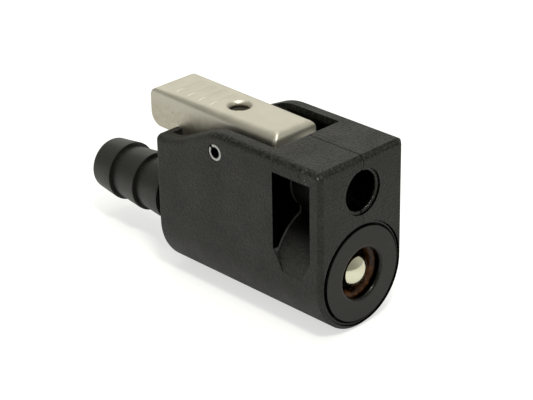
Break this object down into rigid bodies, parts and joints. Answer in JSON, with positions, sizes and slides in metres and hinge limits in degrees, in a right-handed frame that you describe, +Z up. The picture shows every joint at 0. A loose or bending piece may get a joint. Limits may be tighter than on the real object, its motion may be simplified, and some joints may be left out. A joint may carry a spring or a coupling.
{
  "type": "quick disconnect hose coupling",
  "caption": "Plastic fuel line quick disconnect coupling with a sprung latch lever, a guide socket, a valved port and a barbed hose stem.",
  "frame": {"origin": "centre of the fuel port in the coupling face", "axes": "+X out of the coupling face along the port, Y across the body, +Z up to the latch lever"},
  "size_m": [0.0703, 0.022, 0.0354],
  "materials": {
    "housing_plastic": "fine moulded grain, black",
    "valve_plastic": "smooth satin, black",
    "cap_plastic": "smooth satin, black",
    "seal_rubber": "brown fuel-proof rubber",
    "seat_rubber": "dark brown fuel-proof rubber",
    "poppet_brass": "pale polished brass",
    "spring_steel": "passivated wire, pale gold",
    "lever_metal": "satin plated casting, champagne",
    "pin_steel": "bare rolled steel"
  },
  "bodies": {
    "body": {"housing": "housing_plastic", "valve_body": "valve_plastic", "front_cap": "cap_plastic", "nipple_seal": "seal_rubber", "seat_washer": "seat_rubber", "pivot_pin": "pin_steel", "latch_spring": "spring_steel", "poppet_spring": "spring_steel"},
    "lever": {"lever": "lever_metal"},
    "poppet": {"poppet": "poppet_brass"}
  },
  "joints": [
    {"name": "lever_press", "type": "hinge", "parent": "body", "child": "lever", "pos_m": [-0.0267, 0, 0.0195], "axis": [0, -1, 0], "range_deg": [0, 12], "stiffness_Nm_per_rad": 0.032, "springref_deg": -48.7, "deforming": ["latch_spring"]},
    {"name": "poppet_slide", "type": "slide", "parent": "body", "child": "poppet", "axis": [-1, 0, 0], "range_m": [0, 0.0035], "stiffness_N_per_m": 400, "springref_m": -0.005, "deforming": ["poppet_spring"]}
  ]
}
